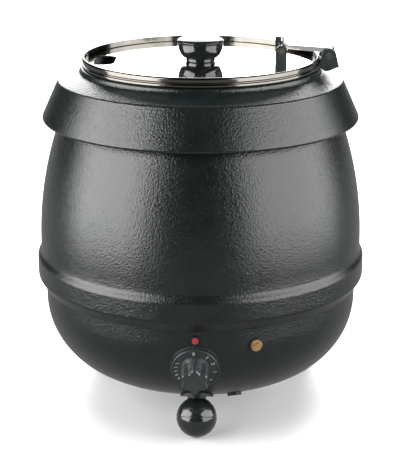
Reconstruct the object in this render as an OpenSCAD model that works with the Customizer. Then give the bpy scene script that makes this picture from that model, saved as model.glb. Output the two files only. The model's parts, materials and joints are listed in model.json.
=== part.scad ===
// Electric wet-well soup kettle.
// Origin: centre of the footprint on the table. +Z is up, the control dial faces -Y,
// the lid hinge is at +X and the ladle notch at -X.

/* [Body] */
// Radius of the waist band, the widest part
waist_r = 170; // [168:1:172]
// Height of the lid ring's top edge above the table
ring_top = 362; // [361:0.5:364]
// Thickness of the pressed steel body panels
panel_t = 1.2; // [1.0:0.1:1.5]
// Radius of the lower bowl where it meets the waist
bowl_r = 162; // [160:1:163]
// Radius of the rounded corner between the bowl's side and its flat bottom
bowl_corner_r = 80; // [76:1:84]
// Height of the bowl's flat bottom above the table
bowl_bottom = 33; // [32.6:0.1:33.2]

/* [Pot and well] */
// Inner radius of the lift-out soup pot
pot_r = 108; // [104:1:108]
// Thickness of the pot and well sheet
pot_t = 0.8; // [0.6:0.1:1.0]
// Depth of the soup pot below its flange
pot_depth = 274; // [250:2:278]
// Gap all round the pot for the hot water
water_gap = 2.7; // [2.0:0.1:3.0]

/* [Lid] */
// Outer radius of the lid ring
ring_r = 118.2; // [117:0.1:120]
// Radius of the lid plate
lid_r = 114; // [110:1:114.5]
// Width of the ladle notch in the lid's edge
notch_w = 52; // [40:1:60]
// Depth of the ladle notch in from the lid's edge
notch_depth = 28; // [20:1:30]
// Radius of the lid knob's widest part
knob_r = 23.3; // [20:0.1:25]
// Height of the lid knob above the lid
knob_h = 25.5; // [22:0.5:27]

/* [Hinge] */
// Distance of the lid's hinge pin from the kettle's axis
pin_x = 128.5; // [127:0.5:130]
// Height of the lid's hinge pin above the lid ring's top edge
pin_lift = 2.5; // [2:0.5:3.5]
// Width of the steel strap that joins the lid to the hinge
strap_w = 24; // [20:1:26]

/* [Controls] */
// Height of the dial's centre above the table
dial_z = 88; // [88:0.5:92]
// Radius of the dial's numbered skirt
dial_r = 23; // [20:0.5:24]
// How far the dial stands out from its bezel
dial_depth = 24; // [20:1:26]
// Height of the power lamp
power_lamp_z = 117.5; // [114:0.5:120]
// Height of the heating lamp
heat_lamp_z = 109.5; // [108:0.5:118]
// Angle from the dial round to the heating lamp, in degrees
heat_lamp_angle = 21; // [18:1:30]

/* [Feet] */
// Radius of each ball foot
ball_r = 20.2; // [19.8:0.1:20.4]
// Lean of each foot away from the vertical, in degrees
foot_lean = 24; // [22:0.5:26]
// Distance from the bowl's surface to the ball's centre
foot_reach = 22; // [21.6:0.1:22.4]

/* [Hidden] */
$fn = 96;

// Heights of the rim stack, from the collar's lip up to the lid
lip_z = ring_top - 10;
gasket_t = 0.5;
well_flange_z = lip_z + gasket_t;
pot_flange_z = well_flange_z + pot_t;
flange_t = 1;
ledge_z = pot_flange_z + flange_t;
ledge_t = 0.8;
lid_z = ledge_z + ledge_t;
lid_t = 1;
lid_top = lid_z + lid_t;

// Radii of the rim stack
lip_inner_r = 113;
lip_r = 120.2;
well_r = pot_r + pot_t + water_gap;
ring_t = 1.2;
ledge_r = pot_r - 0.5;

// Pot and well bottoms
pot_bottom = pot_flange_z - pot_depth;
pot_corner = 14;
well_bottom = pot_bottom - 9;
spreader_t = 3;
spreader_z = well_bottom - spreader_t;

// Body outline
band_low = ring_top - 225.5;
band_high = ring_top - 204.4;
wall_r = waist_r - 3.7;
wall_bend_z = ring_top - 190;
wall_bow_r = 364;
wall_top = ring_top - 49;
collar_drop = 60;
shoulder_r = 143.9;
shoulder_z = ring_top - 23;
collar_edge_r = 160.8;
collar_edge_z = ring_top - collar_drop;

// Hinge
pin_z = ring_top + pin_lift;
pin_r = 2.4;
pin_gap = 0.05;
ear_t = 3;
ear_gap = 0.4;
ear_in = strap_w / 2 + ear_gap;
ear_out = ear_in + ear_t;
lug_x = 81;
lug_pin_z = lid_top + 13;
lug_w = 11;
lug_pin_r = 2;
strap_t = 2;
strap_top_in = lug_pin_z + 6;
strap_top_out = pin_z + 7.5;

// Dial: its axis leans down from the horizontal
dial_tilt = 13;
dial_y = -157;
bezel_r = dial_r + 1.6;
shaft_r = 3;
shaft_gap = 0.06;

// Feet: each stands square to the bowl's rounded corner, where the corner leans by foot_lean
foot_flange_r = 16.5;
foot_flange_t = 1.6;
neck_r = 9.5;
foot_stud_r = 3;
foot_angles = [-90, 150, 30];
foot_ring_r = bowl_r - bowl_corner_r + bowl_corner_r * sin(foot_lean);
foot_root_z = bowl_bottom + bowl_corner_r * (1 - cos(foot_lean));
ball_x = foot_ring_r + foot_reach * sin(foot_lean);
ball_z = foot_root_z - foot_reach * cos(foot_lean);

// Base opening and cover
base_hole_r = 58;
base_plate_r = 66;
base_plate_t = 1.5;

// Points of an arc round [cx, cz] from angle a to angle b, in n steps
function arc(cx, cz, r, a, b, n) =
    [for (i = [0:n]) let (t = a + (b - a) * i / n) [cx + r * cos(t), cz + r * sin(t)]];

function reversed(p) = [for (i = [len(p) - 1:-1:0]) p[i]];

function unit(v) = v / norm(v);

// Left-hand normal of the step from point i to the next
function step_normal(p, i) = let (d = unit(p[i + 1] - p[i])) [-d[1], d[0]];

// Mitred normal at point i of an open path
function point_normal(p, i) =
    i == 0 ? step_normal(p, 0) :
    i == len(p) - 1 ? step_normal(p, i - 1) :
    let (a = step_normal(p, i - 1), b = step_normal(p, i), m = unit(a + b)) m / (m * b);

function offset_path(p, t) = [for (i = [0:len(p) - 1]) p[i] + t * point_normal(p, i)];

// A sheet of thickness t on the left of an open path, as one closed outline
function sheet_outline(p, t) = concat(p, reversed(offset_path(p, t)));

module lathe(outline) {
    rotate_extrude($fn = 180) polygon(outline);
}

// A solid with its outline in X and Z, centred on the XZ plane
module slab(outline, width) {
    rotate([90, 0, 0]) translate([0, 0, -width / 2]) linear_extrude(width) polygon(outline);
}

// A cylinder along Y between two Y values, at x and z
module rod_y(x, z, r, y0, y1) {
    translate([x, y0, z]) rotate([-90, 0, 0]) cylinder(h = y1 - y0, r = r);
}

// Places its children on the dial's axis, with +Z pointing out of the kettle
module on_dial() {
    translate([0, dial_y, dial_z]) rotate([90 + dial_tilt, 0, 0]) children();
}

// Places its children on the bowl's side, with +Z pointing out of the kettle
module on_side(angle, z, r) {
    rotate([0, 0, angle]) translate([0, -r, z]) rotate([90, 0, 0]) children();
}

// Places its children on the bowl's rounded corner, with +Z pointing out of the kettle
module on_corner(angle) {
    rotate([0, 0, angle]) translate([0, -foot_ring_r, foot_root_z])
        rotate([180 - foot_lean, 0, 0]) children();
}

// Places its children on a foot's axis: origin on the bowl's surface, +Z into the bowl
module at_foot(i) {
    rotate([0, 0, foot_angles[i]]) translate([foot_ring_r, 0, foot_root_z])
        rotate([0, -foot_lean, 0]) children();
}

// ---- Body ----

bowl_outline = concat(
    [[base_hole_r, bowl_bottom]],
    arc(bowl_r - bowl_corner_r, bowl_bottom + bowl_corner_r, bowl_corner_r, -90, 0, 24),
    [[bowl_r, band_low + 3]]
);

module bowl_solid() {
    lathe(concat([[0, bowl_bottom]], bowl_outline, [[0, band_low + 3]]));
}

lamp_hole_r = 2.8;

// Hole for a lamp: wide enough outside for the lens's root
module lamp_hole(lens_r) {
    translate([0, 0, -1]) cylinder(h = 6, r = lens_r);
    translate([0, 0, -6]) cylinder(h = 12, r = lamp_hole_r);
}

module lower_bowl() {
    gland_hole_r = 8;
    color("#20242a")
    difference() {
        lathe(sheet_outline(bowl_outline, panel_t));
        on_dial() translate([0, 0, -16]) cylinder(h = 40, r = 14);
        on_side(0, power_lamp_z, bowl_r) lamp_hole(power_lens_r);
        on_side(heat_lamp_angle, heat_lamp_z, bowl_r) lamp_hole(heat_lens_r);
        on_side(180, gland_z, bowl_r - 20) cylinder(h = 30, r = gland_hole_r);
        for (i = [0:2]) at_foot(i) translate([0, 0, -5]) cylinder(h = 15, r = foot_stud_r + 0.2);
        on_corner(reset_angle) translate([0, 0, -8]) cylinder(h = 16, r = reset_r - 2);
        for (a = [0:120:240]) rotate([0, 0, a])
            translate([62, 0, bowl_bottom - 1]) cylinder(h = 5, r = 1.8);
    }
}

// Steel ring that joins the bowl's rim to the inside of the waist band
module waist_joint_ring() {
    color("#5a5e62") difference() {
        translate([0, 0, band_low - 2]) cylinder(h = 5, r = waist_r - panel_t - 2, $fn = 180);
        translate([0, 0, band_low - 3]) cylinder(h = 8, r = bowl_r, $fn = 180);
    }
}

// The waist band, its chamfer and the bowed wall above it
wall_sweep = asin((wall_top - wall_bend_z) / wall_bow_r);
shell_outline = concat(
    [[bowl_r + panel_t + 0.2, band_low - 9.7], [waist_r - 0.9, band_low - 0.9],
     [waist_r, band_low + 0.6], [waist_r, band_high], [waist_r - 0.6, band_high + 2],
     [wall_r + 0.6, band_high + 6], [wall_r, band_high + 8]],
    arc(wall_r - wall_bow_r, wall_bend_z, wall_bow_r, 0, wall_sweep, 16)
);

module upper_shell() {
    color("#20242a") lathe(sheet_outline(shell_outline, panel_t));
}

// Lip, sloping shoulder and drooping collar, turned in under its lower edge
collar_foot_z = collar_edge_z - 2.2;
collar_foot_r = wall_r - wall_bow_r
    + sqrt(wall_bow_r * wall_bow_r - pow(collar_foot_z - wall_bend_z, 2));
collar_outline = concat(
    [[collar_foot_r + 0.6, collar_foot_z]],
    arc(collar_edge_r - 2.6, collar_edge_z, 2.6, -78, 26, 8),
    arc(shoulder_r - 3, shoulder_z - 2.6, 4, 26, 70, 4),
    [[lip_r + 3, lip_z - 5.8], [lip_r + 1.5, lip_z - 4.4]],
    [[lip_r + 0.4, lip_z - 0.8], [lip_r - 0.4, lip_z], [lip_inner_r, lip_z]]
);

module top_collar() {
    color("#20242a") lathe(sheet_outline(collar_outline, panel_t));
}

module well_gasket() {
    color("#3a3a3a") difference() {
        translate([0, 0, lip_z]) cylinder(h = gasket_t, r = lip_inner_r + 3);
        translate([0, 0, lip_z - 1]) cylinder(h = 3, r = lip_inner_r);
    }
}

// A deep round pan of inner radius r with a flat flange round its mouth
module pan(r, flange, top, bottom, corner, t, flange_thick) {
    lathe(concat(
        [[flange, top], [flange, top + flange_thick], [r, top + flange_thick]],
        arc(r - corner, bottom + corner, corner, 0, -90, 10),
        [[0, bottom], [0, bottom - t]],
        arc(r - corner, bottom + corner, corner + t, -90, 0, 10),
        [[r + t, top]]
    ));
}

module water_well() {
    color("silver")
    pan(well_r, lip_inner_r + 3, well_flange_z, well_bottom, pot_corner, pot_t, pot_t);
}

// ---- Heater and wiring inside the base ----

module heat_spreader() {
    color("#b8bcc0") difference() {
        translate([0, 0, spreader_z - pot_t]) cylinder(h = spreader_t, r = 92);
        for (a = [45:90:315]) rotate([0, 0, a])
            translate([50, 0, spreader_z - 3]) cylinder(h = 10, r = 2.1);
    }
}

element_r = 70;
element_tube_r = 4;
element_z = spreader_z - pot_t - element_tube_r;

module heating_element() {
    end_angle = 12;
    color("#6b4a3a") translate([0, 0, element_z]) {
        rotate([0, 0, 90 + end_angle])
        rotate_extrude(angle = 360 - 2 * end_angle, $fn = 96)
            translate([element_r, 0]) circle(r = element_tube_r, $fn = 32);
        for (s = [-1, 1]) rotate([0, 0, 90 + s * (end_angle + 5)])
            translate([element_r, 0, -12]) cylinder(h = 11, r = 2.5);
    }
}

clamp_z = element_z - element_tube_r - 2;

module element_clamp() {
    color("#a0a4a8") difference() {
        union() {
            for (a = [45, 135]) rotate([0, 0, a])
                translate([-78, -9, clamp_z]) cube([156, 18, 2]);
        }
        for (a = [45:90:315]) rotate([0, 0, a])
            translate([50, 0, clamp_z - 1]) cylinder(h = 5, r = 2.1);
        translate([0, 0, clamp_z - 1]) cylinder(h = 5, r = 3.1);
    }
}

module clamp_nuts() {
    color("#c8ccd0")
    for (a = [45:90:315]) rotate([0, 0, a]) translate([50, 0, 0]) {
        translate([0, 0, clamp_z - 6]) cylinder(h = spreader_z - clamp_z + 5, r = 2);
        translate([0, 0, clamp_z - 4]) difference() {
            cylinder(h = 3.9, r = 4, $fn = 6);
            translate([0, 0, -1]) cylinder(h = 6, r = 2);
        }
    }
}

module thermal_cutout() {
    color("#2a2a2a") translate([-30, 0, spreader_z - pot_t - 9]) cylinder(h = 9, r = 8);
}

// Cover over the cut-out's reset button, low on the bowl's rounded corner
reset_r = 7;
reset_angle = heat_lamp_angle - 2;
module reset_cap() {
    color("#15171a") {
        difference() {
            on_corner(reset_angle) translate([0, 0, -3]) cylinder(h = 5.5, r = reset_r);
            bowl_solid();
        }
        on_corner(reset_angle) translate([0, 0, -6]) cylinder(h = 8, r = reset_r - 2);
    }
}

thermo_front = -6;
module thermostat_body() {
    color("#d8d4c8") on_dial() difference() {
        union() {
            translate([-15, -15, thermo_front - 24]) cube([30, 30, 22]);
            translate([0, 0, thermo_front - 3]) cylinder(h = 7, r = 6);
        }
        translate([0, 0, thermo_front - 18]) cylinder(h = 40, r = shaft_r + shaft_gap);
    }
}

module thermostat_nut() {
    color("#c8ccd0") on_dial() difference() {
        translate([0, 0, thermo_front - 2]) cylinder(h = 3, r = 10, $fn = 6);
        translate([0, 0, thermo_front - 3]) cylinder(h = 6, r = 6);
    }
}

bulb_z = spreader_z - pot_t - 4;

module thermostat_bulb() {
    color("#b87333") translate([0, -38, bulb_z])
        rotate([0, 90, 0]) cylinder(h = 24, r = 3, center = true);
}

module bulb_clip() {
    color("#c8ccd0") difference() {
        translate([-4, -43, bulb_z - 4.5]) cube([8, 10, 8.5]);
        translate([0, -38, bulb_z])
            rotate([0, 90, 0]) cylinder(h = 30, r = 3, center = true);
    }
}

module dial_bezel() {
    color("#15171a") difference() {
        on_dial() translate([0, 0, -14]) cylinder(h = 16, r = bezel_r);
        bowl_solid();
        on_dial() translate([0, 0, -20]) cylinder(h = 40, r = 6.6);
    }
}

// A stepped lens with a dished middle
module lamp_lens(r) {
    difference() {
        union() {
            translate([0, 0, -1]) cylinder(h = 3, r = r);
            cylinder(h = 2.6, r = r * 0.8);
        }
        translate([0, 0, 2.1]) cylinder(h = 1, r = r * 0.5);
    }
}

module lamp_bezel(lens_r) {
    difference() {
        translate([0, 0, -1.4]) cylinder(h = 3.2, r = lens_r + 1.2);
        translate([0, 0, -2]) cylinder(h = 6, r = lens_r);
    }
}

power_lens_r = 3.2;
heat_lens_r = 5.8;

module power_lamp_lens() {
    color("#b01818") on_side(0, power_lamp_z, bowl_r) lamp_lens(power_lens_r);
}

module power_lamp_bezel() {
    clearance = 0.1;
    color("#15171a") difference() {
        on_side(0, power_lamp_z, bowl_r) lamp_bezel(power_lens_r);
        translate([0, -clearance, 0]) bowl_solid();
    }
}

module power_lamp_body() {
    color("#d8d4c8") on_side(0, power_lamp_z, bowl_r) translate([0, 0, -18])
        cylinder(h = 17, r = lamp_hole_r);
}

module heat_lamp_lens() {
    color("#c89028") on_side(heat_lamp_angle, heat_lamp_z, bowl_r) lamp_lens(heat_lens_r);
}

module heat_lamp_bezel() {
    color("#15171a") difference() {
        on_side(heat_lamp_angle, heat_lamp_z, bowl_r) lamp_bezel(heat_lens_r);
        bowl_solid();
    }
}

module heat_lamp_body() {
    color("#d8d4c8") on_side(heat_lamp_angle, heat_lamp_z, bowl_r) translate([0, 0, -18])
        cylinder(h = 17, r = lamp_hole_r);
}

module terminal_block() {
    color("#e8e4d8") difference() {
        translate([-22, 104, bowl_bottom + 12]) cube([44, 16, 18]);
        for (x = [-14, 0, 14]) translate([x, 100, bowl_bottom + 21]) rotate([-90, 0, 0])
            cylinder(h = 30, r = 2.5);
    }
}

gland_z = bowl_bottom + 49;
gland_bore = 4;
gland_reach = 24;
gland_wall_r = bowl_r - bowl_corner_r
    + sqrt(pow(bowl_corner_r, 2) - pow(bowl_bottom + bowl_corner_r - gland_z, 2));

module gland_body() {
    color("#15171a") on_side(180, gland_z, gland_wall_r) difference() {
        union() {
            translate([0, 0, -12]) cylinder(h = 19 + gland_reach - 12, r = 7.6);
            translate([0, 0, 2.8]) cylinder(h = 5, r = 11, $fn = 6);
        }
        translate([0, 0, -20]) cylinder(h = 60, r = gland_bore);
    }
}

module gland_cap() {
    color("#15171a") on_side(180, gland_z, gland_wall_r) difference() {
        union() {
            translate([0, 0, 7.8]) cylinder(h = 9, r = 10.4, $fn = 6);
            translate([0, 0, 7.8]) cylinder(h = gland_reach - 11, r = 9);
            translate([0, 0, gland_reach - 3.2]) cylinder(h = 3.2, r1 = 9, r2 = 6.4);
        }
        translate([0, 0, 0]) cylinder(h = 7 + gland_reach - 12, r = 7.6);
        translate([0, 0, 0]) cylinder(h = 60, r = gland_bore);
    }
}

module gland_nut() {
    color("#15171a") on_side(180, gland_z, gland_wall_r) difference() {
        translate([0, 0, -11]) cylinder(h = 4, r = 11, $fn = 6);
        translate([0, 0, -20]) cylinder(h = 40, r = 7.6);
    }
}

// ---- Base cover, tie rod and feet ----

module base_plate() {
    color("#9a9ea2") difference() {
        translate([0, 0, bowl_bottom - base_plate_t]) cylinder(h = base_plate_t, r = base_plate_r);
        for (a = [0:120:240]) rotate([0, 0, a])
            translate([62, 0, bowl_bottom - 5]) cylinder(h = 10, r = 1.8);
        translate([0, 0, bowl_bottom - 5]) cylinder(h = 10, r = 3.1);
        for (a = [0:30:330]) rotate([0, 0, a]) translate([40, 0, bowl_bottom - 5])
            cylinder(h = 10, r = 2.5);
    }
}

module base_screws() {
    color("#c8ccd0") for (a = [0:120:240]) rotate([0, 0, a])
        translate([62, 0, bowl_bottom - base_plate_t]) difference() {
            union() {
                cylinder(h = 6, r = 1.8);
                translate([0, 0, -1.6]) cylinder(h = 1.6, r = 3.4);
            }
            translate([0, 0, -2]) cylinder(h = 1.2, r = 1.6, $fn = 6);
        }
}

module tie_rod() {
    rod_low = bowl_bottom - base_plate_t - 5;
    color("#c8ccd0") translate([0, 0, rod_low]) cylinder(h = spreader_z - pot_t - rod_low, r = 3);
}

module tie_rod_nut() {
    color("#c8ccd0") difference() {
        translate([0, 0, bowl_bottom - base_plate_t - 4]) cylinder(h = 4, r = 5.5, $fn = 6);
        translate([0, 0, bowl_bottom - base_plate_t - 6]) cylinder(h = 10, r = 3);
    }
}

// Flange and neck of a foot; the flange's back is shaped to the bowl
module foot_mount(i) {
    color("#15171a") difference() {
        at_foot(i) difference() {
            union() {
                translate([0, 0, -foot_flange_t]) cylinder(h = 6, r = foot_flange_r);
                translate([0, 0, 0.6 - foot_reach + ball_r - 2.2])
                    cylinder(h = foot_reach - ball_r + 2.2, r = neck_r);
            }
            translate([0, 0, -foot_reach]) cylinder(h = 40, r = foot_stud_r);
            translate([0, 0, -foot_reach]) sphere(r = ball_r, $fn = 128);
        }
        bowl_solid();
    }
}

// A ball with a small flat to stand on
module foot_ball(i) {
    color("#101214") difference() {
        rotate([0, 0, foot_angles[i]]) translate([ball_x, 0, ball_z]) sphere(r = ball_r, $fn = 128);
        translate([-200, -200, -10]) cube([400, 400, 10]);
        at_foot(i) translate([0, 0, -foot_reach]) cylinder(h = 40, r = foot_stud_r);
    }
}

module foot_studs() {
    color("#c8ccd0") for (i = [0:2]) at_foot(i)
        translate([0, 0, -foot_reach]) cylinder(h = foot_reach + 9, r = foot_stud_r);
}

module foot_nuts() {
    color("#c8ccd0") for (i = [0:2]) at_foot(i) translate([0, 0, panel_t + 0.3]) difference() {
        cylinder(h = 5, r = 5.5, $fn = 6);
        translate([0, 0, -1]) cylinder(h = 10, r = foot_stud_r);
    }
}

// ---- Soup pot ----

module soup_pot() {
    color("silver")
    pan(pot_r, ring_r - ring_t - 1.2, pot_flange_z, pot_bottom, pot_corner - 1, pot_t, flange_t);
}

// ---- Lid ring and hinge bracket ----

module lid_ring() {
    wall_in = ring_r - ring_t;
    color("silver") difference() {
        lathe([[wall_in, well_flange_z], [ring_r + 0.9, well_flange_z],
            [ring_r + 1.3, well_flange_z + 0.5], [ring_r + 1.3, ring_top - 7],
            [ring_r + 0.8, ring_top - 6.4], [ring_r, ring_top - 6.1], [ring_r, ring_top - 5.3],
            [ring_r + 0.9, ring_top - 4.9], [ring_r + 1, ring_top - 1.2],
            [ring_r + 0.4, ring_top - 0.3], [ring_r - 0.4, ring_top],
            [wall_in + 0.3, ring_top], [wall_in, ring_top - 0.3],
            [wall_in, ledge_z + ledge_t], [ledge_r, ledge_z + ledge_t], [ledge_r, ledge_z],
            [wall_in, ledge_z]]);
        for (y = rivet_ys) translate([110, y, rivet_z]) rotate([0, 90, 0])
            cylinder(h = 20, r = 1.6);
    }
}

rivet_ys = [-8, 8];
rivet_z = ring_top - 4.1;
bracket_in = ring_r + 1.4;
bracket_t = 2;
bracket_low = lip_z + 0.8;

ear_outline = [
    [bracket_in, bracket_low], [lip_r + 3.8, lip_z - 2.6], [pin_x - 1, lip_z - 3],
    [pin_x + 10.5, lip_z + 1.5], [pin_x + 7.2, pin_z - 0.5], [pin_x - 7.2, pin_z - 0.5],
    [bracket_in, ring_top - 0.8]
];

module hinge_bracket() {
    color("#15171a") difference() {
        union() {
            for (s = [-1, 1]) translate([0, s * (ear_in + ear_t / 2), 0]) {
                slab(ear_outline, ear_t);
                rod_y(pin_x, pin_z, 7.3, -ear_t / 2, ear_t / 2);
            }
            translate([bracket_in, -ear_out, bracket_low])
                cube([bracket_t, 2 * ear_out, ring_top - 0.8 - bracket_low]);
        }
        rod_y(pin_x, pin_z, pin_r, -ear_out - 1, ear_out + 1);
        for (y = rivet_ys) translate([0, y, rivet_z]) rotate([0, 90, 0]) {
            translate([0, 0, 110]) cylinder(h = 20, r = 1.6);
            translate([0, 0, bracket_in + bracket_t - 0.8]) cylinder(h = 2, r = 2.6);
        }
    }
}

// Heads sit just inside the ring's curved wall and flush in the bracket's outer face
module bracket_rivets() {
    head_in = ring_r - ring_t - 1.4;
    color("#d0d0d0") for (y = rivet_ys) translate([0, y, rivet_z]) rotate([0, 90, 0]) {
        translate([0, 0, head_in]) cylinder(h = 0.8, r = 2.6);
        translate([0, 0, head_in]) cylinder(h = bracket_in + bracket_t - head_in, r = 1.6);
        translate([0, 0, bracket_in + bracket_t - 0.8]) cylinder(h = 0.8, r = 2.6);
    }
}

module headed_pin(x, z, r, head_r, half) {
    rod_y(x, z, r, -half, half);
    for (s = [-1, 1]) {
        y0 = s > 0 ? half : -half - 1.6;
        rod_y(x, z, head_r, y0, y0 + 1.6);
    }
}

module hinge_pin() {
    color("#d8d8d8") headed_pin(pin_x, pin_z, pin_r, 3.9, ear_out);
}

// ---- Lid ----

module lid_plate() {
    corner = 12;
    color("silver") difference() {
        translate([0, 0, lid_z]) cylinder(h = lid_t, r = lid_r, $fn = 180);
        translate([-lid_r - 20, -notch_w / 2, lid_z - 1])
            cube([20 + notch_depth - corner, notch_w, 4]);
        translate([-lid_r - 1, -notch_w / 2 + corner, lid_z - 1])
            cube([1 + notch_depth, notch_w - 2 * corner, 4]);
        for (s = [-1, 1])
            translate([-lid_r + notch_depth - corner, s * (notch_w / 2 - corner), lid_z - 1])
                cylinder(h = 4, r = corner);
        translate([0, 0, lid_z - 1]) cylinder(h = 4, r = 2.6);
        for (s = [-1, 1]) translate([lug_x, s * 7, lid_z - 1]) cylinder(h = 4, r = 1.6);
    }
}

module lid_lug() {
    base_t = 3;
    tab_w = 6;
    color("#15171a") difference() {
        union() {
            translate([lug_x - lug_w / 2, -ear_out, lid_top]) cube([lug_w, 2 * ear_out, base_t]);
            for (s = [-1, 1]) translate([0, s * (ear_in + ear_t / 2), 0]) {
                translate([lug_x - lug_w / 2, -ear_t / 2, lid_top + base_t - 1])
                    cube([lug_w, ear_t, lug_pin_z - lid_top - base_t + 1]);
                rod_y(lug_x, lug_pin_z, lug_w / 2, -ear_t / 2, ear_t / 2);
            }
            // Finger tab on the rear ear
            translate([lug_x - lug_w / 2, ear_in, lug_pin_z]) cube([tab_w, ear_t, 9.5]);
        }
        rod_y(lug_x, lug_pin_z, lug_pin_r, -ear_out - 1, ear_out + 1);
        for (s = [-1, 1]) translate([lug_x, s * 7, lid_top - 1]) cylinder(h = 6, r = 1.6);
    }
}

module lug_rivets() {
    color("#d0d0d0") for (s = [-1, 1]) translate([lug_x, s * 7, 0]) {
        translate([0, 0, lid_z - 0.8]) cylinder(h = 0.8, r = 2.8);
        translate([0, 0, lid_z]) cylinder(h = lid_t + 3, r = 1.6);
        translate([0, 0, lid_top + 3]) cylinder(h = 1, r = 2.8);
    }
}

module lug_pin() {
    color("#d8d8d8") headed_pin(lug_x, lug_pin_z, lug_pin_r, 3.6, ear_out);
}

// Top sheet of the strap: turned-up inner end, gentle fall outwards, turned-down outer end
strap_path = [
    [pin_x + 9.3, pin_z - 5.2], [pin_x + 3.4, strap_top_out - 0.6], [pin_x + 1.6, strap_top_out],
    [lug_x + 6, strap_top_in - 0.3], [lug_x + 3.4, strap_top_in + 1.6],
    [lug_x + 2, strap_top_in + 8]
];

module hinge_strap() {
    flange_h = 4.5;
    flange_t = 2;
    flange_outline = [
        [lug_x - 3.5, lug_pin_z - 3.5], [lug_x + 3.5, lug_pin_z - 3.5],
        [lug_x + 7, strap_top_in - strap_t - 2.6], [pin_x - 6, strap_top_out - strap_t - 2.4],
        [pin_x - 4, pin_z - 3.6], [pin_x + 3.5, pin_z - 3.6], [pin_x + 5.2, pin_z + 2],
        [pin_x + 1, strap_top_out - strap_t + 0.4], [lug_x + 5, strap_top_in - strap_t + 0.4],
        [lug_x - 2, lug_pin_z + 3.5], [lug_x - 3.5, lug_pin_z + 1.5]
    ];
    color("#d8d8d8") difference() {
        union() {
            slab(sheet_outline(strap_path, strap_t), strap_w);
            for (s = [-1, 1]) translate([0, s * (strap_w / 2 - flange_t / 2), 0])
                slab(flange_outline, flange_t);
        }
        rod_y(pin_x, pin_z, pin_r + pin_gap, -strap_w, strap_w);
        rod_y(lug_x, lug_pin_z, lug_pin_r, -strap_w, strap_w);
    }
}

strap_rivet_xs = [94, 115];
module strap_rivets() {
    fall = (strap_top_in - 0.3 - strap_top_out) / (pin_x + 1.6 - lug_x - 6);
    slope = atan(fall);
    color("#c0c0c0") for (x = strap_rivet_xs) {
        under = strap_top_out + fall * (pin_x + 1.6 - x) - strap_t / cos(slope) - 0.02;
        translate([x, 0, under]) rotate([0, slope, 0])
            translate([0, 0, -3]) cylinder(h = 3, r = 3);
    }
}

module lid_knob() {
    neck_r = 15;
    neck_h = 3.5;
    crown = 5.5;
    cup_h = knob_h - crown - neck_h;
    crown_r = (knob_r * knob_r + crown * crown) / (2 * crown);
    crown_sweep = asin((knob_r - 1.2) / crown_r);
    bell = [for (i = [0:12]) let (t = i / 12)
        [neck_r + (knob_r - neck_r) * sin(90 * t), neck_h + cup_h * (1 - cos(90 * t))]];
    color("#101214") translate([0, 0, lid_top]) lathe(concat(
        [[0, 0.2], [2.5, 0.2], [2.5, 0], [neck_r - 0.6, 0], [neck_r, 0.6]],
        bell,
        arc(0, knob_h - crown_r, crown_r, 90 - crown_sweep, 90, 12)
    ));
}

module knob_washer() {
    color("#c8ccd0") difference() {
        translate([0, 0, lid_z - 1]) cylinder(h = 1, r = 7);
        translate([0, 0, lid_z - 2]) cylinder(h = 4, r = 2.5);
    }
}

module knob_screw() {
    color("#c8ccd0") {
        translate([0, 0, lid_z - 1 - 2.4]) cylinder(h = 2.4, r = 4.5);
        translate([0, 0, lid_z - 1]) cylinder(h = lid_t + 1.2, r = 2.5);
    }
}

// ---- Dial ----

dial_gap = 0.5;
skirt_front = 2 + dial_gap + 2.6;

module dial_skirt() {
    color("#15171a") on_dial() difference() {
        translate([0, 0, 2 + dial_gap]) cylinder(h = 2.6, r1 = dial_r, r2 = dial_r - 0.8);
        translate([0, 0, 0]) cylinder(h = 10, r = shaft_r);
    }
}

// A six-lobed grip that tapers to its front face
module dial_grip() {
    grip_h = dial_depth - skirt_front + 2;
    lobe_ring = 10.6;
    lobe_r = 4.8;
    color("#15171a") on_dial() translate([0, 0, skirt_front]) difference() {
        union() {
            cylinder(h = grip_h, r1 = 13, r2 = 10.4);
            for (a = [0:60:300]) rotate([0, 0, 90 + a])
                translate([lobe_ring, 0, 0]) cylinder(h = grip_h - 1, r1 = lobe_r, r2 = 2.4);
        }
        translate([0, 0, -1]) cylinder(h = 13, r = shaft_r);
        translate([0, 0, 5]) rotate([0, 90, 30]) cylinder(h = 20, r = 1.5);
    }
}

module dial_shaft() {
    color("#d0c8a0") on_dial() translate([0, 0, thermo_front - 16])
        cylinder(h = skirt_front + 12 - thermo_front + 16 - 0.2, r = shaft_r);
}

module dial_grub_screw() {
    color("#909090") on_dial() translate([0, 0, skirt_front + 5]) rotate([0, 90, 30])
        translate([0, 0, shaft_r + 0.05]) cylinder(h = 6, r = 1.5);
}

lower_bowl();
waist_joint_ring();
upper_shell();
top_collar();
well_gasket();
water_well();
heat_spreader();
heating_element();
element_clamp();
clamp_nuts();
thermal_cutout();
reset_cap();
thermostat_body();
thermostat_nut();
thermostat_bulb();
bulb_clip();
dial_bezel();
power_lamp_lens();
power_lamp_bezel();
power_lamp_body();
heat_lamp_lens();
heat_lamp_bezel();
heat_lamp_body();
terminal_block();
gland_body();
gland_cap();
gland_nut();
base_plate();
base_screws();
tie_rod();
tie_rod_nut();
foot_mount(0);  // foot_front_mount
foot_ball(0);  // foot_front_ball
foot_mount(1);  // foot_rear_left_mount
foot_ball(1);  // foot_rear_left_ball
foot_mount(2);  // foot_rear_right_mount
foot_ball(2);  // foot_rear_right_ball
foot_studs();
foot_nuts();
soup_pot();
lid_ring();
hinge_bracket();
bracket_rivets();
hinge_pin();
lid_plate();
lid_lug();
lug_rivets();
lug_pin();
hinge_strap();
strap_rivets();
lid_knob();
knob_washer();
knob_screw();
dial_skirt();
dial_grip();
dial_shaft();
dial_grub_screw();
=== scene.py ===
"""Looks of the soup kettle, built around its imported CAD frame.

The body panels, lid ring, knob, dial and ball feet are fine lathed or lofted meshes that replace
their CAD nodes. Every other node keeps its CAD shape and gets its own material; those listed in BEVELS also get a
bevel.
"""
import json
import math

import bmesh
import bpy
from mathutils import Matrix, Vector


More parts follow.
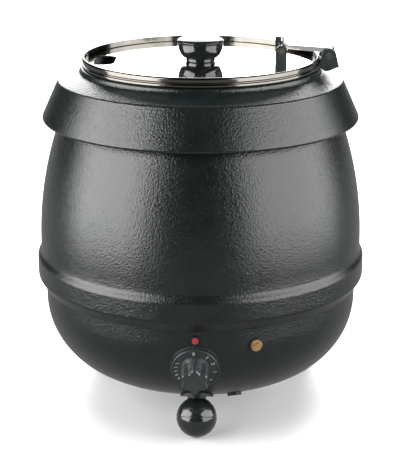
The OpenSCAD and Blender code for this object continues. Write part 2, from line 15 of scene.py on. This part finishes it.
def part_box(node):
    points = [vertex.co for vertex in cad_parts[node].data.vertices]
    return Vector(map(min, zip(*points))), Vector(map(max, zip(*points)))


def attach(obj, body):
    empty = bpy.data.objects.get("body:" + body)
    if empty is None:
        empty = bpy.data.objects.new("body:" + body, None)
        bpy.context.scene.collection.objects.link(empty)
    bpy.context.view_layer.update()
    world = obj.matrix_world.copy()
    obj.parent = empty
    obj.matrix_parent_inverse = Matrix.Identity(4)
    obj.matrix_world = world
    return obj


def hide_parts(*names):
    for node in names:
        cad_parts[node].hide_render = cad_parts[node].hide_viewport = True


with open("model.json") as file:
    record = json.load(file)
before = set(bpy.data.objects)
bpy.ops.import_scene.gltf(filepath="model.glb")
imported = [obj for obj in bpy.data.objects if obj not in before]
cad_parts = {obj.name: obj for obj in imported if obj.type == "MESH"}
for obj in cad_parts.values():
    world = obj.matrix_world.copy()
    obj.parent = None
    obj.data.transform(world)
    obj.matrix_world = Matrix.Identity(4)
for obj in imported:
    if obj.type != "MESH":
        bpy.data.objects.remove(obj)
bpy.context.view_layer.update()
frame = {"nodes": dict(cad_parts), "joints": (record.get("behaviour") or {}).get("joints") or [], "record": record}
MM = 0.001

# ---- Sizes read from the frame ----


def low(node):
    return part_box(node)[0]


def high(node):
    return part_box(node)[1]


ring_top = high("lid_ring")[2]
waist_r = high("upper_shell")[0]
bowl_r = high("lower_bowl")[0]
bowl_bottom = low("lower_bowl")[2]
collar_r = high("top_collar")[0]
lip_top = high("top_collar")[2]
lid_top = high("lid_plate")[2]
panel_t = 1.2 * MM
wall_r = waist_r - 3.7 * MM
wall_bow = 364 * MM
wall_bend = ring_top - 190 * MM
joints = {joint["name"]: joint for joint in frame["joints"]}


# ---- Profile helpers: points are (radius, height) in metres ----


def arc(centre, radius, start, end, steps):
    """Points of an arc in degrees, ends included."""
    angles = [math.radians(start + (end - start) * i / steps) for i in range(steps + 1)]
    return [(centre[0] + radius * math.cos(a), centre[1] + radius * math.sin(a)) for a in angles]


def rounded(points, radius, steps=5):
    """An open outline with every inner corner rounded to at most radius."""
    out = [points[0]]
    for before, corner, after in zip(points, points[1:], points[2:]):
        p, a, b = Vector(corner), Vector(before), Vector(after)
        to_a, to_b = a - p, b - p
        cut = min(radius, 0.45 * to_a.length, 0.45 * to_b.length)
        start, end = p + to_a.normalized() * cut, p + to_b.normalized() * cut
        for i in range(steps + 1):
            t = i / steps
            point = (1 - t) ** 2 * start + 2 * t * (1 - t) * p + t * t * end
            out.append((point.x, point.y))
    out.append(points[-1])
    return out


def offset(points, distance):
    """The open outline moved to its left by distance, with mitred corners."""
    normals = []
    for a, b in zip(points, points[1:]):
        step = (Vector(b) - Vector(a)).normalized()
        normals.append(Vector((-step.y, step.x)))
    out = []
    for i, point in enumerate(points):
        first = normals[max(i - 1, 0)]
        second = normals[min(i, len(normals) - 1)]
        middle = (first + second).normalized()
        moved = Vector(point) + middle * distance / max(middle.dot(first), 0.3)
        out.append((moved.x, moved.y))
    return out


def sheet(points, thickness):
    """Closed outline of a sheet that lies to the left of an open outline."""
    return points + offset(points, thickness)[::-1]


# ---- Mesh helpers ----


def new_object(name, bm, material, sharp=35.0):
    """Turns bm into a smooth-shaded object. Edges over sharp degrees stay crisp."""
    mesh = bpy.data.meshes.new(name)
    bmesh.ops.recalc_face_normals(bm, faces=bm.faces)
    bm.to_mesh(mesh)
    bm.free()
    for polygon in mesh.polygons:
        polygon.use_smooth = True
    mesh.set_sharp_from_angle(angle=math.radians(sharp))
    obj = bpy.data.objects.new(name, mesh)
    bpy.context.scene.collection.objects.link(obj)
    obj.data.materials.append(material)
    steady = obj.modifiers.new("flat_faces_first", "WEIGHTED_NORMAL")
    steady.keep_sharp = True
    return obj


def lathe(name, outline, material, segments=192, closed=True, matrix=None, sharp=35.0):
    """Turns an outline round +Z. A point at radius 0 becomes a pole."""
    bm = bmesh.new()
    rings = []
    for radius, height in outline:
        if radius < 1e-7:
            rings.append([bm.verts.new((0, 0, height))])
            continue
        turn = [2 * math.pi * k / segments for k in range(segments)]
        rings.append([bm.verts.new((radius * math.cos(a), radius * math.sin(a), height))
                      for a in turn])
    pairs = list(zip(rings, rings[1:] + rings[:1])) if closed else list(zip(rings, rings[1:]))
    for one, two in pairs:
        if len(one) == 1 and len(two) == 1:
            continue
        for k in range(segments):
            n = (k + 1) % segments
            corners = [one[k % len(one)], one[n % len(one)], two[n % len(two)], two[k % len(two)]]
            face = list(dict.fromkeys(corners))
            bm.faces.new(face)
    obj = new_object(name, bm, material, sharp)
    if matrix is not None:
        obj.data.transform(matrix)
    return obj


def on_body(obj, body, slot, *nodes):
    """Rides obj on a body and lets it stand for the nodes. The slot argument is not used."""
    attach(obj, body)
    if nodes:
        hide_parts(*nodes)
    return obj


# ---- Materials ----


class Shader:
    """A node material with one Principled shader and short ways to add to it."""

    def __init__(self, name):
        self.material = bpy.data.materials.new(name)
        self.material.use_nodes = True
        self.nodes = self.material.node_tree.nodes
        self.links = self.material.node_tree.links
        self.shader = next(n for n in self.nodes if n.type == "BSDF_PRINCIPLED")
        self.coords = self.nodes.new("ShaderNodeTexCoord").outputs["Object"]
        self.height = None

    def put(self, **values):
        for key, value in values.items():
            self.shader.inputs[key.replace("_", " ")].default_value = value
        return self

    def noise(self, scale, detail=3.0, distortion=0.0, stretch=(1, 1, 1)):
        mapping = self.nodes.new("ShaderNodeMapping")
        mapping.inputs["Scale"].default_value = stretch
        self.links.new(self.coords, mapping.inputs["Vector"])
        node = self.nodes.new("ShaderNodeTexNoise")
        node.inputs["Scale"].default_value = scale
        node.inputs["Detail"].default_value = detail
        node.inputs["Distortion"].default_value = distortion
        self.links.new(mapping.outputs["Vector"], node.inputs["Vector"])
        return node.outputs["Fac"]

    def cells(self, scale, smooth=0.6):
        node = self.nodes.new("ShaderNodeTexVoronoi")
        node.feature = "SMOOTH_F1"
        node.inputs["Scale"].default_value = scale
        node.inputs["Smoothness"].default_value = smooth
        self.links.new(self.coords, node.inputs["Vector"])
        return node.outputs["Distance"]

    def remap(self, source, low_in, high_in, low_out, high_out):
        node = self.nodes.new("ShaderNodeMapRange")
        for key, value in (("From Min", low_in), ("From Max", high_in),
                           ("To Min", low_out), ("To Max", high_out)):
            node.inputs[key].default_value = value
        self.links.new(source, node.inputs["Value"])
        return node.outputs["Result"]

    def vary_roughness(self, source, low_out, high_out):
        self.links.new(self.remap(source, 0.3, 0.7, low_out, high_out),
                       self.shader.inputs["Roughness"])
        return self

    def vary_colour(self, source, dark, light):
        ramp = self.nodes.new("ShaderNodeValToRGB")
        ramp.color_ramp.elements[0].position = 0.32
        ramp.color_ramp.elements[0].color = (*dark, 1)
        ramp.color_ramp.elements[1].position = 0.68
        ramp.color_ramp.elements[1].color = (*light, 1)
        self.links.new(source, ramp.inputs["Fac"])
        self.links.new(ramp.outputs["Color"], self.shader.inputs["Base Color"])
        return self

    def bump(self, source, depth):
        node = self.nodes.new("ShaderNodeBump")
        node.inputs["Distance"].default_value = depth
        node.inputs["Strength"].default_value = 1.0
        self.links.new(source, node.inputs["Height"])
        if self.height is not None:
            self.links.new(self.height, node.inputs["Normal"])
        self.height = node.outputs["Normal"]
        self.links.new(self.height, self.shader.inputs["Normal"])
        return self


def hammered_paint():
    """Black powder coat with an orange-peel grain a few millimetres across."""
    s = Shader("hammered_paint").put(Metallic=0.0, Specular_IOR_Level=0.62)
    s.vary_colour(s.noise(55, 4), (0.0045, 0.0068, 0.0064), (0.0075, 0.0105, 0.010))
    s.vary_roughness(s.noise(160, 3), 0.19, 0.25)
    s.bump(s.noise(660, 1.5, 0.3), 0.00026)
    s.bump(s.cells(560), 0.00018)
    s.bump(s.noise(1150, 1.5), 0.00009)
    return s.material


def mirror_steel():
    """Polished stainless steel with faint polishing haze and a few light scuffs."""
    s = Shader("mirror_steel").put(Metallic=1.0)
    s.vary_colour(s.noise(14, 3), (0.86, 0.855, 0.835), (0.92, 0.915, 0.9))
    s.vary_roughness(s.noise(40, 6, 1.2), 0.035, 0.075)
    s.bump(s.noise(9, 2), 0.00006)
    return s.material


def satin_steel():
    """Drawn stainless steel with fine rings left round the pot by spinning."""
    s = Shader("satin_steel").put(Metallic=0.82, Anisotropic=0.4)
    s.vary_colour(s.noise(25, 3), (0.56, 0.555, 0.54), (0.66, 0.655, 0.64))
    s.vary_roughness(s.noise(60, 3, 0.0, (1, 1, 14)), 0.24, 0.3)
    s.bump(s.noise(30, 2, 0.0, (1, 1, 40)), 0.000012)
    return s.material


def zinc_steel():
    """Plated steel with the faint spangle of zinc."""
    s = Shader("zinc_steel").put(Metallic=1.0)
    s.vary_colour(s.cells(160), (0.42, 0.43, 0.44), (0.58, 0.59, 0.6))
    s.vary_roughness(s.noise(300, 3), 0.28, 0.45)
    s.bump(s.noise(900, 2), 0.00003)
    return s.material


def gloss_black(name, dark, light, rough_low, rough_high, peel):
    """Polished black plastic: a very slight ripple and hairline wear."""
    s = Shader(name).put(Specular_IOR_Level=0.6, Coat_Weight=0.3, Coat_Roughness=0.06)
    s.vary_colour(s.noise(70, 4), dark, light)
    s.vary_roughness(s.noise(220, 5, 0.8), rough_low, rough_high)
    s.bump(s.noise(140, 1), peel)
    return s.material


def moulded_black():
    """Black moulding with a fine spark-eroded grain."""
    s = Shader("moulded_black").put(Specular_IOR_Level=0.35)
    s.vary_colour(s.noise(90, 3), (0.006, 0.0075, 0.0075), (0.011, 0.013, 0.013))
    s.vary_roughness(s.noise(400, 3), 0.42, 0.55)
    s.bump(s.noise(2200, 2), 0.00003)
    return s.material


def coated_black():
    """Black coating on the small hinge castings, worn a little."""
    s = Shader("coated_black").put(Specular_IOR_Level=0.6)
    s.vary_colour(s.noise(240, 5), (0.014, 0.018, 0.019), (0.035, 0.043, 0.045))
    s.vary_roughness(s.noise(500, 3), 0.26, 0.42)
    s.bump(s.noise(1100, 3), 0.00006)
    return s.material


def lens(name, dark, light, glow):
    """Coloured lamp lens with a moulded, slightly cloudy body."""
    s = Shader(name).put(Specular_IOR_Level=0.6, Coat_Weight=0.6, Coat_Roughness=0.05,
                         Emission_Strength=glow, Emission_Color=(*light, 1))
    s.vary_colour(s.noise(520, 4, 0.6), dark, light)
    s.vary_roughness(s.noise(700, 2), 0.16, 0.3)
    s.bump(s.cells(1300), 0.00008)
    return s.material


def plain(name, dark, light, metallic, rough, grain):
    """Plain material for hidden pieces, with slight variation."""
    s = Shader(name).put(Metallic=metallic)
    s.vary_colour(s.noise(120, 4), dark, light)
    s.vary_roughness(s.noise(350, 3), rough - 0.07, rough + 0.07)
    s.bump(s.noise(grain, 2), 0.00004)
    return s.material


def print_white():
    s = Shader("print_white").put(Roughness=0.45)
    s.vary_colour(s.noise(800, 3), (0.30, 0.32, 0.31), (0.5, 0.52, 0.51))
    s.bump(s.noise(2600, 2), 0.00002)
    return s.material


def rubber():
    s = Shader("rubber").put(Specular_IOR_Level=0.3)
    s.vary_colour(s.noise(150, 3), (0.02, 0.02, 0.02), (0.04, 0.04, 0.04))
    s.vary_roughness(s.noise(500, 2), 0.65, 0.8)
    s.bump(s.noise(1800, 2), 0.00005)
    return s.material


def shaded_rim_steel():
    """Rolled rim of the lid ring: polished steel with its colour darkened as painted shade, so it reflects the
    lights dimly, and a slight blur.
    """
    s = Shader("shaded_rim_steel").put(Metallic=1.0)
    # painted shade: a dark colour for the steel, dimming the ring's reflections of the lights
    s.vary_colour(s.noise(30, 3), (0.125, 0.118, 0.105), (0.175, 0.166, 0.15))
    s.vary_roughness(s.noise(90, 5, 0.8), 0.10, 0.17)
    s.bump(s.noise(260, 2), 0.00003)
    return s.material


PAINT = hammered_paint()
MIRROR = mirror_steel()
DARKENED_RIM = shaded_rim_steel()
SATIN = satin_steel()
ZINC = zinc_steel()
KNOB = gloss_black("knob_black", (0.008, 0.0095, 0.010), (0.014, 0.017, 0.018), 0.10, 0.16, 0.00006)
BALL = gloss_black("ball_black", (0.008, 0.0095, 0.010), (0.015, 0.018, 0.018), 0.13, 0.2, 0.00007)
DIAL = gloss_black("dial_black", (0.019, 0.0235, 0.024), (0.030, 0.036, 0.037), 0.24, 0.32, 0.00002)
TRIM = moulded_black()
HINGE = coated_black()
RED = lens("red_lens", (0.22, 0.006, 0.010), (0.46, 0.045, 0.055), 0.05)
AMBER = lens("amber_lens", (0.10, 0.042, 0.012), (0.50, 0.29, 0.11), 0.02)
WHITE = print_white()
RUBBER = rubber()

SLOT_MATERIALS = {
    "body_paint": PAINT,
    "plain_steel": ZINC,
    "rubber_seal": RUBBER,
    "pot_steel": SATIN,
    "aluminium_plate": plain("spreader_alloy", (0.6, 0.61, 0.62), (0.74, 0.75, 0.76), 1, 0.3, 300),
    "element_sheath": plain("element_sheath", (0.16, 0.1, 0.07), (0.3, 0.23, 0.18), 1, 0.4, 700),
    "switch_plastic": plain("switch_plastic", (0.62, 0.58, 0.48), (0.78, 0.75, 0.66), 0, 0.5, 900),
    "copper_bulb": plain("copper_bulb", (0.5, 0.22, 0.1), (0.72, 0.38, 0.2), 1, 0.25, 600),
    "dial_plastic": DIAL,
    "red_lens": RED,
    "amber_lens": AMBER,
    "black_trim": TRIM,
    "ball_plastic": BALL,
    "lid_steel": MIRROR,
    "hinge_black": HINGE,
    "rivet_steel": plain("rivet_steel", (0.16, 0.155, 0.145), (0.27, 0.26, 0.25), 1, 0.22, 500),
    "strap_steel": MIRROR,
    "knob_plastic": KNOB,
    "brass_shaft": plain("brass_shaft", (0.5, 0.38, 0.14), (0.7, 0.55, 0.25), 1, 0.3, 500),
}


# ---- CAD nodes that keep their shape ----

BEVELS = {
    "hinge_bracket": 0.5, "lid_lug": 0.5, "hinge_strap": 0.35, "hinge_pin": 0.5, "lug_pin": 0.5,
    "bracket_rivets": 0.25, "lug_rivets": 0.3, "strap_rivets": 0.3, "dial_bezel": 0.4,
    "gland_body": 0.4, "gland_cap": 0.4, "gland_nut": 0.3, "lid_plate": 0.2,
    "power_lamp_bezel": 0.25, "heat_lamp_bezel": 0.3, "base_plate": 0.3, "reset_cap": 0.4,
}


def dress_cad_nodes():
    slots = {part["node"]: part["material_slot"] for part in frame["record"]["subparts"]}
    for name, obj in frame["nodes"].items():
        obj.data.materials.clear()
        obj.data.materials.append(SLOT_MATERIALS[slots[name]])
        if name in BEVELS:
            bevel = obj.modifiers.new("edge_round", "BEVEL")
            bevel.width = BEVELS[name] * MM
            bevel.segments = 3
            bevel.limit_method = "ANGLE"
            bevel.angle_limit = math.radians(38)
            bevel.harden_normals = True


# ---- Body panels ----


def make_lower_bowl():
    """Deep bowl with a round hole in its bottom for the base plate."""
    corner = 80 * MM
    opening = 58 * MM
    rim = ring_top - 222.5 * MM
    path = [(opening, bowl_bottom)]
    path += arc((bowl_r - corner, bowl_bottom + corner), corner, -90, 0, 48)
    path += [(bowl_r, rim)]
    obj = lathe("bowl_shell", sheet(path, panel_t), PAINT, 256)
    return on_body(obj, "base", "body_paint", "lower_bowl")


def make_upper_shell():
    """Waist band and barrel wall in one sheet. The wall bows outward on a wide arc."""
    wall_rise = 141 * MM
    band_low = ring_top - 225.5 * MM
    band_high = ring_top - 204.4 * MM
    sweep = math.degrees(math.asin(wall_rise / wall_bow))
    band = rounded([
        (bowl_r + 1.4 * MM, band_low - 9.7 * MM), (waist_r - 0.5 * MM, band_low),
        (waist_r, band_low + 2 * MM), (waist_r, band_high),
        (wall_r + 0.4 * MM, band_high + 5 * MM), (wall_r, band_high + 12 * MM)], 2.2 * MM, 6)
    path = band + arc((wall_r - wall_bow, wall_bend), wall_bow, 0, sweep, 40)[1:]
    obj = lathe("barrel_shell", sheet(path, panel_t), PAINT, 256)
    return on_body(obj, "base", "body_paint", "upper_shell")


def make_collar():
    """Shoulder that hangs over the barrel wall, with a thin rolled lower edge."""
    edge = ring_top - 60 * MM
    foot = edge - 2.2 * MM
    foot_r = wall_r - wall_bow + math.sqrt(wall_bow ** 2 - (foot - wall_bend) ** 2)
    roll = 2.6 * MM
    path = rounded([(foot_r + 0.6 * MM, foot)]
                   + arc((collar_r - roll, edge), roll, -78, 26, 14)
                   + [(143.9 * MM, ring_top - 22.4 * MM), (123.4 * MM, lip_top - 5.6 * MM),
                      (121.6 * MM, lip_top - 3.6 * MM), (120.4 * MM, lip_top - 0.2 * MM),
                      (113 * MM, lip_top)], 1.3 * MM, 5)
    obj = lathe("collar_shell", sheet(path, panel_t), PAINT, 256)
    return on_body(obj, "base", "body_paint", "top_collar")


# ---- Lid ring and knob ----


def make_lid_ring():
    """Ring round the lid: a grooved outer band and a ledge inside that carries the lid."""
    outer = high("lid_ring")[0]
    inner = outer - 2.5 * MM
    bottom = low("lid_ring")[2]
    ledge = lid_top - 1 * MM
    ledge_r = inner - 9.5 * MM
    top = ring_top
    outside = rounded([
        (inner, bottom), (outer - 0.3 * MM, bottom), (outer, bottom + 0.8 * MM),
        (outer, top - 6.9 * MM), (outer - 1.2 * MM, top - 6.2 * MM),
        (outer - 1.2 * MM, top - 5.2 * MM), (outer - 0.3 * MM, top - 4.7 * MM),
        (outer - 0.3 * MM, top - 1.4 * MM), (outer - 1.4 * MM, top),
        (inner + 0.2 * MM, top)], 0.9 * MM, 5)
    inside = [(inner, top - 0.4 * MM), (inner, ledge), (ledge_r, ledge),
              (ledge_r, ledge - 0.8 * MM), (inner, ledge - 0.8 * MM)]
    # the ring takes the darkened steel, whose dark colour is painted shade
    obj = lathe("rim_ring", outside + inside, DARKENED_RIM, 256, sharp=50)
    return on_body(obj, "lid_ring", "lid_steel", "lid_ring")


def make_knob():
    """Cup-shaped knob with a low crown, standing on a short neck."""
    reach = high("lid_knob")[0]
    height = high("lid_knob")[2] - lid_top
    neck, neck_h, crown = 15 * MM, 3.5 * MM, 5.5 * MM
    cap_r, cap_crown = reach - 2.4 * MM, 2.9 * MM
    cup = height - crown - neck_h
    bell = [(neck + (reach - neck) * math.sin(math.pi / 2 * i / 20),
             neck_h + cup * (1 - math.cos(math.pi / 2 * i / 20))) for i in range(21)]
    dome_r = (cap_r ** 2 + cap_crown ** 2) / (2 * cap_crown)
    sweep = math.degrees(math.asin(cap_r / dome_r))
    dome = arc((0, height - dome_r), dome_r, 90 - sweep, 90, 24)
    dome[-1] = (0.0, height)
    shoulder = [(reach, height - crown + 0.6 * MM), (reach - 0.9 * MM, height - cap_crown - 0.7 * MM)]
    side = rounded([(neck - 1 * MM, 0), (neck, 0.7 * MM)] + bell + shoulder + dome[:1], 0.9 * MM, 5)
    outline = [(0.0, 0.0)] + side + dome[1:]
    obj = lathe("knob_head", outline, KNOB, 128, closed=False,
                matrix=Matrix.Translation((0, 0, lid_top)))
    return on_body(obj, "lid", "knob_plastic", "lid_knob")


# ---- Ball feet ----


def make_foot(node, mount):
    """A ball with its moulded seam square to the foot's leaning axis."""
    a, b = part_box(node)
    radius = 20.2 * MM
    centre = Vector(((a[0] + b[0]) / 2, (a[1] + b[1]) / 2, b[2] - radius))
    around = math.atan2(centre.y, centre.x)
    lean = math.radians(24)
    groove, groove_w = 0.25 * MM, 1.2
    upper = arc((0, 0), radius, 88, groove_w, 30)
    lower = arc((0, 0), radius, -groove_w, -90, 40)
    lower[-1] = (0.0, -radius)
    outline = [(0.0, upper[0][1])] + upper + [(radius - groove, 0.0)] + lower
    turn = Matrix.Translation(centre) @ Matrix.Rotation(around, 4, "Z") \
        @ Matrix.Rotation(-lean, 4, "Y")
    obj = lathe(node + "_sphere", outline, BALL, 96, closed=False, matrix=turn)
    for vertex in obj.data.vertices:
        vertex.co.z = max(vertex.co.z, 0.0)
    return on_body(obj, "base", "ball_plastic", node)


# ---- Dial ----

dial = joints["dial_turn"]
dial_out = -Vector(dial["axis"]).normalized()
dial_up = dial_out.cross(Vector((1, 0, 0))).normalized()
DIAL_FRAME = Matrix.Translation(Vector(dial["pos_m"])) @ Matrix((
    (1, dial_up.x, dial_out.x, 0), (0, dial_up.y, dial_out.y, 0),
    (0, dial_up.z, dial_out.z, 0), (0, 0, 0, 1)))
SKIRT_BACK = 2.5 * MM
SKIRT_FRONT = 5.1 * MM
SKIRT_R = 23 * MM
GRIP_H = 20.9 * MM
MARK_R = 18.7 * MM
NUMERAL_H = 5 * MM
FLUTES = 6
DIAL_NUMERALS = (("0", -4), ("1", 38), ("2", 66), ("3", 94))
DIAL_STROKES = ((-66, 0.7), (-80, 0.8), (-94, 0.9), (-108, 1.1), (-122, 1.3))


def make_skirt():
    outline = [(0.0, SKIRT_BACK)] + rounded([
        (4 * MM, SKIRT_BACK), (SKIRT_R - 0.2 * MM, SKIRT_BACK), (SKIRT_R, SKIRT_BACK + 0.8 * MM),
        (SKIRT_R - 0.3 * MM, SKIRT_FRONT - 0.2 * MM), (SKIRT_R - 1.1 * MM, SKIRT_FRONT),
        (SKIRT_R - 1.7 * MM, SKIRT_FRONT - 0.5 * MM), (SKIRT_R - 2.4 * MM, SKIRT_FRONT - 0.5 * MM),
        (4 * MM, SKIRT_FRONT)], 0.4 * MM, 3) + [(0.0, SKIRT_FRONT)]
    obj = lathe("dial_disc", outline, DIAL, 128, closed=False, matrix=DIAL_FRAME)
    return on_body(obj, "dial", "dial_plastic", "dial_skirt")


def make_grip():
    """Six broad ridges with scooped flutes between them, tapering to the front."""
    bm = bmesh.new()
    around, layers = 144, 22
    base_r, front_r = 15.4 * MM, 13.9 * MM
    rings = []
    for j in range(layers + 1):
        t = j / layers
        crown = min(1.0, (1 - t) * layers / 3.5)
        edge = (1 - (1 - crown) ** 2) * 1.0
        mean = base_r + (front_r - base_r) * t - (1 - edge) * 0.9 * MM
        scoop = 2.9 * MM * min(1.0, 0.3 + 1.1 * t) * min(1.0, t * 5 + 0.05)
        ring = []
        for k in range(around):
            a = 2 * math.pi * k / around
            wave = 0.5 - 0.5 * math.cos(FLUTES * (a - math.pi / 2))
            r = mean - scoop * wave
            ring.append(bm.verts.new((r * math.cos(a), r * math.sin(a),
                                      SKIRT_FRONT - 0.3 * MM + (GRIP_H + 0.3 * MM) * t)))
        rings.append(ring)
    for one, two in zip(rings, rings[1:]):
        for k in range(around):
            n = (k + 1) % around
            bm.faces.new((one[k], one[n], two[n], two[k]))
    cap = list(rings[-1])
    for shrink, drop in ((0.86, 0.0), (0.6, 0.35), (0.3, 0.6)):
        inner = []
        for vertex in rings[-1]:
            x, y = vertex.co.x, vertex.co.y
            inner.append(bm.verts.new((x * shrink, y * shrink, vertex.co.z - drop * MM)))
        for k in range(around):
            n = (k + 1) % around
            bm.faces.new((cap[k], cap[n], inner[n], inner[k]))
        cap = inner
    bm.faces.new(cap)
    bm.faces.new(rings[0][::-1])
    obj = new_object("dial_handle", bm, DIAL, 40)
    obj.data.transform(DIAL_FRAME)
    return on_body(obj, "dial", "dial_plastic", "dial_grip")


def put_on_skirt(obj, angle, radius):
    """Lays a flat piece on the skirt's face, angle clockwise from the top in degrees."""
    a = math.radians(angle)
    place = Matrix.Translation((radius * math.sin(a), radius * math.cos(a), SKIRT_FRONT - 0.04 * MM))
    obj.data.transform(DIAL_FRAME @ place @ Matrix.Rotation(-a, 4, "Z"))
    return on_body(obj, "dial", "dial_plastic")


def make_numeral(text, angle):
    curve = bpy.data.curves.new("numeral", "FONT")
    curve.body = text
    curve.size = NUMERAL_H
    curve.align_x = "CENTER"
    curve.align_y = "CENTER"
    curve.extrude = 0.06 * MM
    curve.offset = 0.12 * MM
    holder = bpy.data.objects.new("numeral_curve", curve)
    bpy.context.scene.collection.objects.link(holder)
    bpy.context.view_layer.update()
    mesh = bpy.data.meshes.new_from_object(holder)
    bpy.data.objects.remove(holder)
    obj = bpy.data.objects.new("numeral_%s_%d" % (text, angle), mesh)
    bpy.context.scene.collection.objects.link(obj)
    obj.data.materials.clear()
    obj.data.materials.append(WHITE)
    return put_on_skirt(obj, angle, MARK_R)


def make_dash(angle, length, width, lean):
    """A printed stroke on the skirt. Length and width are in millimetres."""
    bm = bmesh.new()
    bmesh.ops.create_cube(bm, size=1.0)
    bmesh.ops.scale(bm, vec=(width * MM, length * MM, 0.14 * MM), verts=bm.verts)
    bmesh.ops.rotate(bm, cent=(0, 0, 0), matrix=Matrix.Rotation(math.radians(lean), 3, "Z"),
                     verts=bm.verts)
    bmesh.ops.bevel(bm, geom=list(bm.edges), offset=0.04 * MM, segments=1, affect="EDGES")
    obj = new_object("scale_mark_%d" % round(angle), bm, WHITE)
    return put_on_skirt(obj, angle, MARK_R)


# ---- Studio ----


ROOM = 0.005
FLOOR_GLOW = 0.07
SWEEP_EDGE = 0.918
SWEEP_LEVEL = 5.0


def make_floor():
    bm = bmesh.new()
    bmesh.ops.create_grid(bm, x_segments=2, y_segments=2, size=9.0)
    s = Shader("floor_white").put(Roughness=0.9, Specular_IOR_Level=0.1)
    s.vary_colour(s.noise(0.7, 2), (0.88, 0.88, 0.885), (0.9, 0.9, 0.9))
    obj = new_object("floor", bm, s.material)
    obj.location.z = -0.0005
    obj.visible_glossy = False
    obj.visible_diffuse = False


def aim(obj, target):
    obj.rotation_euler = (Vector(target) - obj.location).to_track_quat("-Z", "Y").to_euler()


def softbox(name, azimuth, elevation, distance, width, height, power, glossy=True):
    """An area light round the kettle. Azimuth 0 is in front, positive to the right."""
    light = bpy.data.lights.new(name, "AREA")
    light.shape = "RECTANGLE"
    light.size, light.size_y = width, height
    light.energy = power
    obj = bpy.data.objects.new(name, light)
    bpy.context.scene.collection.objects.link(obj)
    a, e = math.radians(azimuth), math.radians(elevation)
    centre = Vector((0, 0, 0.2))
    obj.location = centre + distance * Vector((math.sin(a) * math.cos(e),
                                               -math.cos(a) * math.cos(e), math.sin(e)))
    aim(obj, centre)
    obj.visible_camera = False
    obj.visible_glossy = glossy
    return obj


def make_world():
    """Dark room with a white sweep behind the kettle, which the polished parts mirror."""
    world = bpy.data.worlds.new("studio")
    bpy.context.scene.world = world
    world.use_nodes = True
    nodes, links = world.node_tree.nodes, world.node_tree.links
    background = nodes["Background"]
    coords = nodes.new("ShaderNodeTexCoord")
    towards = nodes.new("ShaderNodeVectorMath")
    towards.operation = "DOT_PRODUCT"
    towards.inputs[1].default_value = Vector((-0.03, 0.94, 0.32)).normalized()
    links.new(coords.outputs["Generated"], towards.inputs[0])
    ramp = nodes.new("ShaderNodeValToRGB")
    stops = ramp.color_ramp.elements
    stops[0].position, stops[0].color = 0.0, (ROOM, ROOM, ROOM, 1)
    stops[1].position, stops[1].color = 1.0, (1, 1, 1, 1)
    for position, level in ((SWEEP_EDGE - 0.02, ROOM), (SWEEP_EDGE, 0.9)):
        stop = stops.new(position)
        stop.color = (level, level, level, 1)
    links.new(towards.outputs["Value"], ramp.inputs["Fac"])
    below = nodes.new("ShaderNodeVectorMath")
    below.operation = "DOT_PRODUCT"
    below.inputs[1].default_value = (0, 0, -1)
    links.new(coords.outputs["Generated"], below.inputs[0])
    glow = nodes.new("ShaderNodeMapRange")
    glow.interpolation_type = "SMOOTHSTEP"
    for key, value in (("From Min", 0.0), ("From Max", 0.12), ("To Min", 0.0),
                       ("To Max", FLOOR_GLOW)):
        glow.inputs[key].default_value = value
    links.new(below.outputs["Value"], glow.inputs["Value"])
    total = nodes.new("ShaderNodeVectorMath")
    total.operation = "ADD"
    links.new(ramp.outputs["Color"], total.inputs[0])
    links.new(glow.outputs["Result"], total.inputs[1])
    links.new(total.outputs["Vector"], background.inputs["Color"])
    background.inputs["Strength"].default_value = SWEEP_LEVEL


def make_camera():
    """Long lens, a little above the lid and tilted down, the dial just left of centre."""
    distance, rise, pitch, turn = 1.4008, 0.2571, 17.65, 1.8
    focal_px, frame_w = 1400.0, 416.0
    data = bpy.data.cameras.new("camera")
    data.sensor_fit = "HORIZONTAL"
    data.sensor_width = 36.0
    data.lens = focal_px / frame_w * data.sensor_width
    data.clip_end = 50
    data.shift_x = 7.5 / frame_w
    obj = bpy.data.objects.new("camera", data)
    bpy.context.scene.collection.objects.link(obj)
    a = math.radians(turn)
    obj.location = (distance * math.sin(a), -distance * math.cos(a), ring_top + rise)
    obj.rotation_euler = (math.radians(90 - pitch), 0, a)
    bpy.context.scene.camera = obj


def make_studio():
    scene = bpy.context.scene
    scene.view_settings.view_transform = "Standard"
    make_world()
    make_floor()
    softbox("left_box", -66, 14, 1.6, 1.9, 1.6, 62)
    softbox("right_box", 71, 14, 1.6, 2.4, 1.6, 52)
    softbox("top_fill", 180, 75, 3.0, 3.6, 3.0, 190, glossy=False)
    softbox("back_fill", 180, 35, 3.4, 3.5, 2.0, 90, glossy=False)


make_camera()
dress_cad_nodes()
make_lower_bowl()
make_upper_shell()
make_collar()
make_lid_ring()
make_knob()
for place in ("front", "rear_left", "rear_right"):
    make_foot("foot_%s_ball" % place, "foot_%s_mount" % place)
make_skirt()
make_grip()
for text, angle in DIAL_NUMERALS:
    make_numeral(text, angle)
make_dash(126, 1.6, 1.6, 0)
for angle, width in DIAL_STROKES:
    make_dash(angle, 3.4, width, 20)
make_studio()
